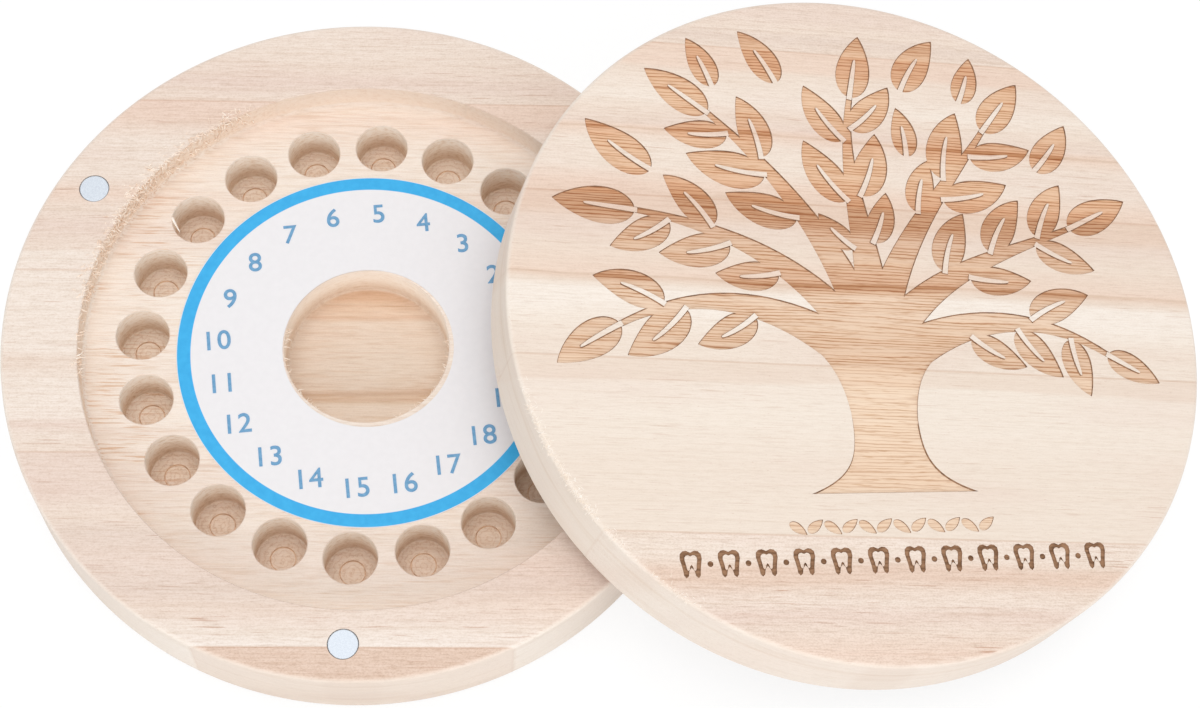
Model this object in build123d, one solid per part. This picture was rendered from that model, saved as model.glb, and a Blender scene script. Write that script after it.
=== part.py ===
"""Round wooden keepsake box for milk teeth, with its lid leaning on the base.

Millimetres, +Z up. The origin is the centre of the base's underside. +X runs along the grain
of the base, and the lid leans that way.
"""
import os
from math import cos, radians, sin

from build123d import *

# Both discs
disc_diameter = 120.0
edge_round = 0.8
overrun = 2.0

# Base disc, glued up from strips that run along X: one in front, equal middle ones, one at the back
base_thickness = 14.4
base_front_strip_width = 5.8
base_back_strip_width = 15.8
base_middle_strip_count = 3

# Recess milled in the top of the base
rim_width = 12.4
recess_depth = 5.4
recess_corner_radius = 0.8
recess_shift_x = 0.3
recess_shift_y = -0.4

# Tooth holes and central well, milled below the recess floor
hole_count = 20
hole_diameter = 9.0
hole_wall_gap = 5.2
hole_floor_thickness = 1.0
first_hole_angle = 15.6
well_diameter = 28.0
well_floor_thickness = 1.0
milling_shift_x = 0.5
milling_shift_y = 0.36

# Round mark that the cutter leaves in the floor of each tooth hole
cutter_mark_diameter = 4.3
cutter_mark_depth = 0.12

# Paper ring stuck on the recess floor
label_thickness = 0.2
label_hole_gap = 1.1
label_well_reveal = 0.5
label_shift_x = 0.8
label_shift_y = -0.05

# Disc magnets, flush in both faces that meet when the box is shut
magnet_diameter = 5.0
magnet_thickness = 2.0
magnet_edge_round = 0.2
magnet_gap = 0.1
magnet_sink = 0.05
magnet_inset = 6.3
magnet_angles = (30.0, 150.0, 268.4)

# Lid disc, glued up the same way and turned about its own axis
lid_thickness = 13.8
lid_front_strip_width = 21.4
lid_back_strip_width = 10.7
lid_middle_strip_count = 3
lid_turn_angle = 2.3

# The lid's lean, on the base's rim and on the table
lean_angle = 10.34
lean_gap = 0.1

# Sizes that follow
disc_radius = disc_diameter / 2
recess_radius = disc_radius - rim_width
recess_floor_z = base_thickness - recess_depth
hole_radius = hole_diameter / 2
hole_ring_radius = recess_radius - hole_wall_gap - hole_radius
well_radius = well_diameter / 2
label_outer_radius = hole_ring_radius - hole_radius - label_hole_gap
label_inner_radius = well_radius + label_well_reveal
magnet_radius = magnet_diameter / 2
magnet_pocket_radius = magnet_radius + magnet_gap
magnet_pocket_depth = magnet_thickness + magnet_sink
magnet_ring_radius = disc_radius - magnet_inset
hole_angle_step = 360 / hole_count


def polar(radius, angle):
    """The point at a radius and an angle from +X."""
    return radius * cos(radians(angle)), radius * sin(radians(angle))


def cylinder(radius, low, high, x=0, y=0):
    """An upright round solid between two heights."""
    height = high - low
    return Pos(x, y, low) * Cylinder(radius, height, align=(Align.CENTER, Align.CENTER, Align.MIN))


def disc(thickness):
    """A plain disc with both outer edges rounded."""
    blank = cylinder(disc_radius, 0, thickness)
    return fillet(blank.edges().filter_by(GeomType.CIRCLE), edge_round)


def recess_cut():
    """The space of the recess, with the rounded corner that its cutter leaves."""
    space = cylinder(recess_radius, recess_floor_z, base_thickness + overrun, recess_shift_x, recess_shift_y)
    floor_edge = space.edges().filter_by(GeomType.CIRCLE).sort_by(Axis.Z)[0]
    return fillet(floor_edge, recess_corner_radius)


def hole_cut(x, y):
    """The space of one tooth hole, with the cutter's mark in its floor."""
    shaft = cylinder(hole_radius, hole_floor_thickness, recess_floor_z + overrun, x, y)
    mark_low = hole_floor_thickness - cutter_mark_depth
    mark = cylinder(cutter_mark_diameter / 2, mark_low, hole_floor_thickness + overrun, x, y)
    return shaft + mark


def hole_places():
    """The centres of the tooth holes."""
    for index in range(hole_count):
        x, y = polar(hole_ring_radius, first_hole_angle + index * hole_angle_step)
        yield x + milling_shift_x, y + milling_shift_y


def magnet_places():
    """The centres of the magnets in a disc."""
    return [polar(magnet_ring_radius, angle) for angle in magnet_angles]


def base_disc():
    """The whole base: recess, tooth holes, central well and magnet pockets."""
    body = disc(base_thickness) - recess_cut()
    for x, y in hole_places():
        body -= hole_cut(x, y)
    body -= cylinder(well_radius, well_floor_thickness, recess_floor_z + overrun, milling_shift_x, milling_shift_y)
    pocket_floor_z = base_thickness - magnet_pocket_depth
    for x, y in magnet_places():
        body -= cylinder(magnet_pocket_radius, pocket_floor_z, base_thickness + overrun, x, y)
    return body


def lid_disc():
    """The whole lid, lying flat, with its magnet pockets in the underside."""
    body = disc(lid_thickness)
    for x, y in magnet_places():
        body -= cylinder(magnet_pocket_radius, -overrun, magnet_pocket_depth, x, y)
    return body


def seams(front_width, back_width, middle_count):
    """The places in Y of the glue lines that cross a disc, from front to back."""
    first = front_width - disc_radius
    step = (disc_diameter - front_width - back_width) / middle_count
    return [first + index * step for index in range(middle_count + 1)]


def strips(body, thickness, seam_list):
    """A disc sawn along its glue lines, from front to back."""
    reach = disc_radius + overrun
    cuts = [-reach, *seam_list, reach]
    for front, back in zip(cuts, cuts[1:]):
        plank = Pos(-reach, front, -overrun) * Box(
            2 * reach, back - front, thickness + 2 * overrun, align=(Align.MIN, Align.MIN, Align.MIN)
        )
        yield (body & plank).solid()


def label_ring():
    """The paper ring on the recess floor."""
    top = recess_floor_z + label_thickness
    outside = cylinder(label_outer_radius, recess_floor_z, top, label_shift_x, label_shift_y)
    inside = cylinder(
        label_inner_radius, recess_floor_z - overrun, top + overrun, label_shift_x, label_shift_y
    )
    return (outside - inside).solid()


def magnet(x, y, low):
    """One disc magnet standing on the floor of its pocket, with its plated edges rounded."""
    blank = cylinder(magnet_radius, low, low + magnet_thickness, x, y)
    return fillet(blank.edges().filter_by(GeomType.CIRCLE), magnet_edge_round).solid()


def lid_location():
    """Where the lid lies: its low edge on the table, its underside on the base's rounded rim."""
    run = sin(radians(lean_angle))
    rise = cos(radians(lean_angle))
    lid_z = (disc_radius - edge_round) * run - edge_round * rise + edge_round
    rim_x = disc_radius - edge_round
    rim_z = base_thickness - edge_round
    lid_x = rim_x + (edge_round + lean_gap - rise * (lid_z - rim_z)) / run
    return Pos(lid_x, 0, lid_z) * Rot(0, lean_angle, 0) * Rot(0, 0, lid_turn_angle)


def save(piece, name):
    """Write one piece to its own file."""
    piece.label = name
    export_step(piece, os.path.join("parts", name + ".step"))


def build_base():
    """The base's strips, its magnets and the label."""
    base_seams = seams(base_front_strip_width, base_back_strip_width, base_middle_strip_count)
    for number, strip in enumerate(strips(base_disc(), base_thickness, base_seams), 1):
        save(strip, f"base_strip_{number}")
    for number, (x, y) in enumerate(magnet_places(), 1):
        save(magnet(x, y, base_thickness - magnet_pocket_depth), f"base_magnet_{number}")
    save(label_ring(), "label_ring")


def build_lid():
    """The lid's strips and magnets, moved together to where the lid leans."""
    place = lid_location()
    lid_seams = seams(lid_front_strip_width, lid_back_strip_width, lid_middle_strip_count)
    for number, strip in enumerate(strips(lid_disc(), lid_thickness, lid_seams), 1):
        save(place * strip, f"lid_strip_{number}")
    for number, (x, y) in enumerate(magnet_places(), 1):
        save(place * magnet(x, y, magnet_sink), f"lid_magnet_{number}")


os.makedirs("parts", exist_ok=True)
build_base()
build_lid()
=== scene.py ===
import random
from contextlib import contextmanager
from functools import partial
from math import atan2, cos, pi, radians, sin, tau

import bpy
from mathutils import Euler, Matrix, Vector


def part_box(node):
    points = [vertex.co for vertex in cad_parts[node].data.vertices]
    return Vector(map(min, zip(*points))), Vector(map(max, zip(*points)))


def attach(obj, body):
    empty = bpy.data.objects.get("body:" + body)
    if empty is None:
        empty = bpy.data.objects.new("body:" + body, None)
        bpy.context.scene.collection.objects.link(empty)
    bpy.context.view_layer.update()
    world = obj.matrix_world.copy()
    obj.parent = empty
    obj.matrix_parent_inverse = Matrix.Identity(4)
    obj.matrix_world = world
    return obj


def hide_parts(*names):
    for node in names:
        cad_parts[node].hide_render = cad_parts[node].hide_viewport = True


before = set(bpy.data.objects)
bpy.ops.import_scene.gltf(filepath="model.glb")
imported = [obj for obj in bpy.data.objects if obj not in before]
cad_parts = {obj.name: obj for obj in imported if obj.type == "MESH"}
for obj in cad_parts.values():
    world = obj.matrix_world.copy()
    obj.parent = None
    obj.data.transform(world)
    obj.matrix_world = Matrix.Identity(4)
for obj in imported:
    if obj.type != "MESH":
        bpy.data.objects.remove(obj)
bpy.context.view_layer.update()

MM = 0.001
LEVEL = Matrix.Identity(4)

# Both discs
strip_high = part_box("base_strip_3")[1]
disc_radius = strip_high.x
base_thickness = strip_high.z
edge_round = 0.8 * MM
disc_sides = 256
overrun = 2 * MM

# Milling of the base
recess_radius = 47.6 * MM
recess_floor = 9.0 * MM
recess_corner = 0.8 * MM
recess_centre = (0.3 * MM, -0.4 * MM)
milling_centre = (0.5 * MM, 0.36 * MM)
hole_count = 20
hole_radius = 4.5 * MM
hole_floor = 1.0 * MM
hole_corner = 0.3 * MM
hole_ring_radius = 37.9 * MM
first_hole_angle = radians(15.6)
hole_sides = 72
well_radius = 14.0 * MM
well_sides = 144
cutter_mark_radius = 2.15 * MM
cutter_mark_depth = 0.12 * MM
score_depth = 0.12 * MM
score_width = 0.14 * MM
scored_face_area = MM * MM
edge_break = 0.15 * MM

# Magnets and their pockets
magnet_names = [f"{part}_magnet_{number}" for part in ("base", "lid") for number in (1, 2, 3)]
magnet_ring_radius = 53.7 * MM
magnet_angles = (30.0, 150.0, 268.4)
pocket_radius = 2.56 * MM
pocket_depth = 2.05 * MM

# Lid: lying flat, its grain runs along its own X; then it is turned and leans
lid_thickness = 13.8 * MM
lid_turn = radians(2.3)
lid_lean = radians(10.34)

# Boards of each disc from front to back, between glue lines in Y in the disc's own frame (mm)
base_boards = [f"base_strip_{number}" for number in range(1, 6)]
lid_boards = [f"lid_strip_{number}" for number in range(1, 6)]
base_seams = (-60.0, -54.2, -21.4, 11.4, 44.2, 60.0)
lid_seams = (-60.0, -38.6, -9.3, 20.0, 49.3, 60.0)

# Engraving, drawn in mm on the lid in a frame that is turned a little from the grain
engraving_turn = radians(2.7)
engraving_depth = 0.24
engraving_slope = 0.13
carving_top = 0.8
ridge_top = 0.02

# Stand-ins that mark each kind of cut face until a board gets its finishes
milled_faces = [bpy.data.materials.new(name) for name in ("milled_face", "scored_face")]
carved_faces = [bpy.data.materials.new(name) for name in ("uncut_face", "carved_floor", "carved_wall")]
FLOOR_FACE, WALL_FACE = 1, 2


# Tools

def pick(piece):
    """Select one piece alone."""
    bpy.ops.object.select_all(action="DESELECT")
    piece.select_set(True)
    bpy.context.view_layer.objects.active = piece
    return piece


def started(add, **settings):
    """A new object, selected alone."""
    bpy.ops.object.select_all(action="DESELECT")
    add(**settings)
    return bpy.context.object


def discard(piece):
    """Throw a tool away."""
    mesh = piece.data
    bpy.data.objects.remove(piece)
    if mesh.users == 0:
        bpy.data.meshes.remove(mesh)


def settled(piece):
    """Put a piece's place into its mesh, so that its object sits at the origin."""
    pick(piece)
    bpy.ops.object.transform_apply(location=True, rotation=True, scale=True)
    return piece


@contextmanager
def editing(piece):
    """Work on the whole mesh of a piece."""
    pick(piece)
    bpy.ops.object.mode_set(mode="EDIT")
    bpy.ops.mesh.select_all(action="SELECT")
    yield
    bpy.ops.object.mode_set(mode="OBJECT")


def coated(piece, *materials):
    """Give a piece these materials alone."""
    piece.data.materials.clear()
    for material in materials:
        piece.data.materials.append(material)
    return piece


def twin(piece, name, place=LEVEL):
    """A copy with its own mesh, moved by a matrix."""
    copy = piece.copy()
    copy.data = piece.data.copy()
    copy.name = name
    bpy.context.scene.collection.objects.link(copy)
    copy.data.transform(place)
    return copy


def joined(pieces, name):
    """Several pieces that don't overlap, as one."""
    whole = pick(pieces[0])
    for piece in pieces:
        piece.select_set(True)
    bpy.ops.object.join()
    whole.name = name
    return whole


def combine(piece, tool, operation):
    """Cut a piece with a tool, or add the tool to it. The tool is used up."""
    step = piece.modifiers.new("step", "BOOLEAN")
    step.operation = operation
    step.solver = "MANIFOLD"
    step.object = tool
    pick(piece)
    bpy.ops.object.modifier_apply(modifier=step.name)
    discard(tool)
    return piece


def turned(name, rings, centre=(0, 0), sides=disc_sides):
    """A round solid: a flat disc that is pulled up and widened from ring to ring (radius, height)."""
    radius, height = rings[0]
    circle = {"vertices": sides, "radius": radius, "fill_type": "NGON", "location": (*centre, height)}
    piece = started(bpy.ops.mesh.primitive_circle_add, **circle)
    piece.name = name
    with editing(piece):
        for (near_radius, low), (far_radius, high) in zip(rings, rings[1:]):
            bpy.ops.mesh.extrude_region_move(TRANSFORM_OT_translate={"value": (0, 0, high - low)})
            share = far_radius / near_radius
            bpy.ops.transform.resize(value=(share, share, 1), center_override=(*centre, high))
        bpy.ops.mesh.select_all(action="SELECT")
        bpy.ops.mesh.normals_make_consistent(inside=False)
    return settled(piece)


def quarter(radius, height, size, start, steps=5):
    """Rings along a quarter round about a ring, from an angle below or above the level."""
    angles = [radians(start + 90 * step / steps) for step in range(steps + 1)]
    return [(radius + size * cos(angle), height + size * sin(angle)) for angle in angles]


def polar(radius, angle, centre=(0, 0)):
    """A point at a radius and an angle about a centre."""
    return centre[0] + radius * cos(angle), centre[1] + radius * sin(angle)


def hole_angle(index):
    """The angle of a tooth hole about the well."""
    return first_hole_angle + tau * index / hole_count


def in_mm(lengths):
    """Lengths given in metres, in millimetres."""
    return [length / MM for length in lengths]


def smoothed(piece, angle=30):
    """Smooth the rounds and keep the flats flat."""
    pick(piece)
    bpy.ops.object.shade_smooth_by_angle(angle=radians(angle))
    step = piece.modifiers.new("flats", "WEIGHTED_NORMAL")
    step.keep_sharp = True
    bpy.ops.object.modifier_apply(modifier=step.name)
    return piece


# Discs and boards

def plain_disc(name, thickness):
    """A disc with both outer edges rounded."""
    inner = disc_radius - edge_round
    low = quarter(inner, edge_round, edge_round, -90)
    high = quarter(inner, thickness - edge_round, edge_round, 0)
    return turned(name, low + high)


def pockets(low, high):
    """The spaces of the three magnet pockets."""
    cuts = []
    for angle in magnet_angles:
        place = polar(magnet_ring_radius, radians(angle))
        cuts.append(turned("pocket", [(pocket_radius, low), (pocket_radius, high)], place, hole_sides))
    return joined(cuts, "pockets")


def mouth(radius, top):
    """Rings of a cut's mouth, with its edge broken."""
    return [(radius, top - edge_break), (radius + edge_break, top), (radius + edge_break, top + overrun)]


def drilled_shape(radius, corner, mark=True):
    """Rings of a hole: the cutter's scored mark, a round at the floor and a broken edge at the top."""
    rings = quarter(radius - corner, hole_floor + corner, corner, -90)
    if mark:
        low = hole_floor - cutter_mark_depth
        scored = [(cutter_mark_radius - score_width, low), (cutter_mark_radius, low - score_depth)]
        rings = [*scored, (cutter_mark_radius + score_width / 2, hole_floor), *rings]
    return rings + mouth(radius, recess_floor)


def milled_base():
    """The base before it is told apart into boards: recess, tooth holes, well and pockets."""
    base = coated(plain_disc("base", base_thickness), *milled_faces)
    recess = quarter(recess_radius - recess_corner, recess_floor + recess_corner, recess_corner, -90)
    recess = turned("recess", recess + mouth(recess_radius, base_thickness), recess_centre)
    combine(base, recess, "DIFFERENCE")
    hole = coated(turned("hole", drilled_shape(hole_radius, hole_corner), sides=hole_sides), *milled_faces)
    for face in hole.data.polygons:
        inner_part = Vector(face.center[:2]).length < cutter_mark_radius + score_width
        face.material_index = 1 if inner_part and face.area < scored_face_area else 0
    well = drilled_shape(well_radius, recess_corner, mark=False)
    cuts = [coated(turned("well", well, milling_centre, well_sides), *milled_faces)]
    for index in range(hole_count):
        x, y = polar(hole_ring_radius, hole_angle(index), milling_centre)
        cuts.append(twin(hole, "hole_cut", Matrix.Translation((x, y, 0))))
    discard(hole)
    combine(base, joined(cuts, "drilling"), "DIFFERENCE")
    return combine(base, pockets(base_thickness - pocket_depth, base_thickness + overrun), "DIFFERENCE")


def sawn(disc, names, seams, thickness):
    """The boards of a disc, each a piece of its own."""
    boards = []
    cuts = [seam * MM for seam in seams]
    cuts[0] -= overrun
    cuts[-1] += overrun
    for name, front, back in zip(names, cuts, cuts[1:]):
        middle = (0, (front + back) / 2, thickness / 2)
        plank = started(bpy.ops.mesh.primitive_cube_add, size=1, location=middle)
        plank.scale = (2 * disc_radius + overrun, back - front, thickness + overrun)
        board = combine(twin(disc, name + "_wood"), settled(plank), "INTERSECT")
        boards.append(smoothed(board))
    discard(disc)
    return boards


# Engraving: closed shapes in mm, given as a ring of points for each inset of their outline

TREE_X = 1.4
TRUNK_FOOT = -31.0
TRUNK_TOP = -2.0
TRUNK_WAIST = 11.0
TRUNK_FLARE = 17.5
TRUNK_CROWN = 7.0
BOUGH_TIP = 1.1
LEAF_WIDTH_SHARE = 0.64
LEAF_LEAST_SIDE = 0.002
RIB_START_SHARE = -0.03
RIB_END_SHARE = 0.62
RIB_WIDTH = 1.05
RIB_LEAST_WIDTH = 0.12
RIB_LEAST_SIDE = 0.02

# Four control points of each bough's line, and the width at its foot
BOUGHS = {
    "low_left": ((1, -10), (-10, 1), (-25, 7), (-41.5, -1.5), 9.0),
    "left": ((0, -6), (-8, 9), (-21, 16), (-37, 19), 7.0),
    "high_left": ((1, -4), (-3, 15), (-13, 28), (-22.5, 37.5), 6.6),
    "middle": ((1.5, -6), (4.5, 12), (-1, 24), (3.5, 41), 7.5),
    "high_right": ((2.5, -4), (7.5, 14), (19, 24), (27, 35), 6.6),
    "right": ((3, -6), (12.5, 8), (26, 11), (40, 16.5), 7.0),
    "low_right": ((2, -10), (13.5, -1), (29, 3), (43, -7), 9.0),
}

# Rounds between the trunk and the low boughs: from the trunk, by a corner, to the bough
CROOKS = {
    "left_crook": ((-4.2, -18.5), (-4.9, -7.7), (-11.4, -4.2)),
    "right_crook": ((7.0, -19.5), (7.5, -8.8), (14.6, -6.1)),
}
CROOK_CORE = (1.4, -5.0)
CROOK_SIZE = 12.0

# Leaves on each bough: share along it, side, length, spread and bend in degrees
LEAVES = {
    "low_left": [
        (0.5, 1, 11.5, 54, -28), (0.77, 1, 13.5, 42, -25), (0.84, -1, 12.5, 50, -25), (1, 1, 13, 0, 8),
    ],
    "left": [
        (0.42, 1, 11, 50, -25), (0.64, 1, 12.5, 46, -25), (0.72, -1, 12, 42, -25), (0.88, 1, 11.5, 52, -25),
        (1, 1, 14, 2, 0),
    ],
    "high_left": [
        (0.46, 1, 13, 52, -25), (0.66, 1, 14, 50, -25), (0.72, -1, 12, 36, -25), (0.88, 1, 11, 56, -25),
        (1, 1, 13, 6, 0),
    ],
    "middle": [
        (0.38, 1, 8.5, 48, -20), (0.4, -1, 10, 34, -20), (0.58, 1, 13, 40, -25), (0.6, -1, 12.5, 34, -25),
        (0.83, 1, 12, 48, -25), (0.88, -1, 11.5, 48, -25), (1, 1, 12.5, 0, 0),
    ],
    "high_right": [
        (0.51, 1, 10.5, 28, -20), (0.62, -1, 12.5, 50, -25), (0.7, 1, 13.5, 34, -25),
        (0.86, -1, 11.5, 56, -25), (1, 1, 12.3, -4, 0),
    ],
    "right": [
        (0.42, 1, 12, 48, -25), (0.5, -1, 11, 40, -20), (0.64, 1, 12, 46, -25), (0.84, -1, 11, 56, -20),
        (0.86, 1, 11.5, 50, -20), (1, 1, 12.5, 4, 0),
    ],
    "low_right": [
        (0.43, -1, 10.5, 56, -25), (0.64, -1, 11, 60, -25), (0.7, 1, 12, 44, -25),
        (0.86, -1, 10.5, 66, -20), (1, 1, 10, 4, 0),
    ],
}

# Leaves that stand free of the boughs: foot, length, direction and bend in degrees
FREE_LEAVES = [
    (-33.5, 26.5, 14, 148, -20), (-21, 42.5, 10, 104, 15), (-9.5, 43.5, 11.5, 110, 20),
    (13, 42.5, 12.5, 64, -20), (23.5, 40.5, 9.5, 62, 15), (12.3, 29.8, 9.5, 84, 20),
    (35.5, 27.5, 11.5, 44, 15),
]


def drawn_in(points, inset, size):
    """A small shape drawn in towards its middle."""
    return [point * (1 - 2 * inset / size) for point in points]


def left_of(angle):
    """The direction to the left of an angle."""
    return Vector((-sin(angle), cos(angle)))


def outline(pairs):
    """A closed line up the left points of pairs and down the right ones."""
    left, right = zip(*pairs)
    return [*left, *right[::-1]]


def along(line, share):
    """A point on a bough's line, and its direction."""
    a, b, c, d = (Vector(point) for point in line[:4])
    rest = 1 - share
    place = rest**3 * a + 3 * rest**2 * share * b + 3 * rest * share**2 * c + share**3 * d
    run = rest**2 * (b - a) + 2 * rest * share * (c - b) + share**2 * (d - c)
    return place, atan2(run.y, run.x)


def half_width(line, share):
    """Half the width of a bough, which tapers to its tip."""
    return (BOUGH_TIP + (line[4] - BOUGH_TIP) * (1 - share) ** 1.3) / 2


def bough_ring(line, inset, steps=24):
    """The outline of a bough."""
    pairs = []
    for step in range(steps + 1):
        place, angle = along(line, step / steps)
        across = left_of(angle) * (half_width(line, step / steps) - inset)
        pairs.append((place + across, place - across))
    return outline(pairs)


def trunk_ring(inset, steps=30):
    """The outline of the trunk, wide at its foot and at its crown."""
    pairs = []
    foot = TRUNK_FOOT + inset
    for step in range(steps + 1):
        y = foot + (TRUNK_TOP - foot) * (step / steps) ** 1.6
        share = min(1, (y + inset - TRUNK_FOOT) / (TRUNK_TOP - TRUNK_FOOT))
        half = (TRUNK_WAIST + TRUNK_FLARE * (1 - share) ** 9 + TRUNK_CROWN * share**4) / 2 - inset
        pairs.append((Vector((TREE_X - half, y)), Vector((TREE_X + half, y))))
    return outline(pairs)


def crook_ring(corners, inset, steps=14):
    """The outline of a round between the trunk and a bough."""
    low, corner, high = (Vector(point) for point in corners)
    ring = [Vector(CROOK_CORE)]
    for step in range(steps + 1):
        share = step / steps
        ring.append(low.lerp(corner, share).lerp(corner.lerp(high, share), share))
    middle = sum(ring, Vector((0, 0))) / len(ring)
    return [middle + point for point in drawn_in([point - middle for point in ring], inset, CROOK_SIZE)]


def on_leaf(leaf, share, side):
    """A point of a leaf, by its share along the rib and its distance to the side, in leaf lengths."""
    x, y, length, angle, bend = leaf
    turn = bend * share
    rib = Vector((share, 0)) if bend == 0 else Vector((sin(turn), 1 - cos(turn))) / bend
    rib += side * left_of(turn)
    rib.rotate(Matrix.Rotation(angle, 2))
    return Vector((x, y)) + length * rib


def leaf_ring(leaf, inset, steps=20):
    """The outline of a leaf, round at its foot and pointed at its tip."""
    inset = inset / leaf[2]
    pairs = []
    for step in range(steps + 1):
        share = inset + (1 - cos(pi * step / steps)) / 2 * (1 - 3 * inset)
        side = max(LEAF_WIDTH_SHARE * share**0.55 * (1 - share) ** 0.9 - inset, LEAF_LEAST_SIDE)
        pairs.append((on_leaf(leaf, share, side), on_leaf(leaf, share, -side)))
    return outline(pairs)


def rib_ring(leaf, inset, steps=12):
    """The outline of the bare rib that is left standing in a leaf."""
    pairs = []
    for step in range(steps + 1):
        share = RIB_START_SHARE + (RIB_END_SHARE - RIB_START_SHARE) * sin(pi / 2 * step / steps)
        width = RIB_WIDTH * (1 - (step / steps) ** 3) ** 0.5 * (1 - 0.35 * step / steps)
        side = max((width + RIB_LEAST_WIDTH) / 2 - inset, RIB_LEAST_SIDE) / leaf[2]
        pairs.append((on_leaf(leaf, share, side), on_leaf(leaf, share, -side)))
    return outline(pairs)


def all_leaves():
    """Every leaf as its foot, length, direction and bend."""
    leaves = [(x, y, length, radians(angle), radians(bend)) for x, y, length, angle, bend in FREE_LEAVES]
    for name, line in BOUGHS.items():
        for share, side, length, spread, bend in LEAVES[name]:
            place, angle = along(line, share)
            reach = 0 if share == 1 else 0.8 * half_width(line, share) * side
            foot = place + reach * left_of(angle)
            leaves.append((*foot, length, angle + side * radians(spread), radians(bend) * side))
    return leaves


def carving(name, ring_at, levels, floor_face=FLOOR_FACE):
    """A closed cutter through the rings at its levels, each an inset and a height in mm."""
    corners = [(*point, height) for inset, height in levels for point in ring_at(inset)]
    count = len(corners) // len(levels)
    last = len(corners) - count
    faces = [list(range(count))[::-1]]
    for near in range(last):
        far = near + 1 if (near + 1) % count else near + 1 - count
        faces.append([near, far, far + count, near + count])
    faces.append(list(range(last, len(corners))))
    mesh = bpy.data.meshes.new(name)
    mesh.from_pydata(corners, [], faces)
    piece = coated(bpy.data.objects.new(name, mesh), *carved_faces)
    for face in mesh.polygons:
        face.material_index = WALL_FACE
    mesh.polygons[0].material_index = floor_face
    bpy.context.scene.collection.objects.link(piece)
    with editing(piece):
        bpy.ops.mesh.normals_make_consistent(inside=False)
    return piece


def pocket(name, ring_at, depth=engraving_depth, slope=engraving_slope, floor_face=FLOOR_FACE):
    """A shape that is burnt away, with sloping walls."""
    return carving(name, ring_at, [(slope, -depth), (0, slope - depth), (0, carving_top)], floor_face)


def ridge(name, ring_at, slope=engraving_slope):
    """A shape that is left standing inside a pocket."""
    return carving(name, ring_at, [(0, -2 * engraving_depth), (0, -engraving_depth), (slope, ridge_top)])


def engraved_tree():
    """The whole tree as one cutter, in mm."""
    tree = pocket("trunk", trunk_ring)
    leaves = all_leaves()
    for name, line in BOUGHS.items():
        combine(tree, pocket(name, partial(bough_ring, line)), "UNION")
    for name, corners in CROOKS.items():
        combine(tree, pocket(name, partial(crook_ring, corners)), "UNION")
    for leaf in leaves:
        combine(tree, pocket("leaf", partial(leaf_ring, leaf)), "UNION")
    for leaf in leaves:
        combine(tree, ridge("rib", partial(rib_ring, leaf)), "DIFFERENCE")
    return tree


# Ornament under the tree: a row of plain teeth in outline with dots, and a fine garland above it

# Right half of a tooth in shares of its height, from the middle of the crown to between the roots
TOOTH_HALF = [
    (0, 0.43), (0.15, 0.5), (0.28, 0.48), (0.38, 0.38), (0.4, 0.2), (0.36, 0.02), (0.32, -0.2), (0.3, -0.4),
    (0.22, -0.5), (0.13, -0.42), (0.09, -0.22), (0, -0.12),
]
TOOTH_ROW_Y = -42.3
TOOTH_ROW_HALF = 34.2
TOOTH_COUNT = 12
TOOTH_HEIGHT = 4.5
TOOTH_WIDTH_SHARE = 0.8
TOOTH_HEART_SHARE = 0.62
TOOTH_HEART_DROP = 0.22
TOOTH_SLOPE = 0.1
DOT_RADIUS = 0.48
GARLAND_Y = -36.6
GARLAND_HALF = 17.5
GARLAND_LEAVES = 12
GARLAND_LEAF = 3.4
GARLAND_SPREAD = radians(38)
GARLAND_DEPTH = 0.14
GARLAND_SLOPE = 0.08


def tooth_ring(middle, inset, share=1.0, drop=0.0):
    """The outline of one small tooth, or of the bare heart that is left standing in it."""
    size = TOOTH_HEIGHT * share
    corners = TOOTH_HALF + [(-x, y) for x, y in TOOTH_HALF[-2:0:-1]]
    points = drawn_in([Vector(corner) * size for corner in corners], inset, TOOTH_WIDTH_SHARE * size)
    return [Vector((middle, TOOTH_ROW_Y + drop)) + point for point in points]


def dot_ring(x, inset, sides=20):
    """The outline of a dot between two teeth."""
    angles = [tau * side / sides for side in range(sides)]
    return [Vector(polar(DOT_RADIUS - inset, angle, (x, TOOTH_ROW_Y))) for angle in angles]


def tooth_row():
    """Teeth in outline, with a dot between each two."""
    cuts = []
    step = 2 * TOOTH_ROW_HALF / (TOOTH_COUNT - 1)
    for index in range(TOOTH_COUNT):
        x = index * step - TOOTH_ROW_HALF
        tooth = pocket("tooth", partial(tooth_ring, x), slope=TOOTH_SLOPE, floor_face=WALL_FACE)
        heart = partial(tooth_ring, x, share=TOOTH_HEART_SHARE, drop=TOOTH_HEART_DROP)
        cuts.append(combine(tooth, ridge("heart", heart, slope=TOOTH_SLOPE), "DIFFERENCE"))
        if index:
            dot = partial(dot_ring, x - step / 2)
            cuts.append(pocket("dot", dot, slope=TOOTH_SLOPE, floor_face=WALL_FACE))
    return cuts


def garland():
    """Small leaves that point up and down in turn."""
    cuts = []
    for index in range(GARLAND_LEAVES):
        x = (index + 0.5) * 2 * GARLAND_HALF / GARLAND_LEAVES - GARLAND_HALF
        side = 1 if index % 2 else -1
        foot = (x - 0.35 * GARLAND_LEAF, GARLAND_Y - 0.25 * side * GARLAND_LEAF)
        shape = partial(leaf_ring, (*foot, GARLAND_LEAF, side * GARLAND_SPREAD, 0), steps=12)
        cuts.append(pocket("small_leaf", shape, GARLAND_DEPTH, GARLAND_SLOPE))
    return cuts


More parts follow.
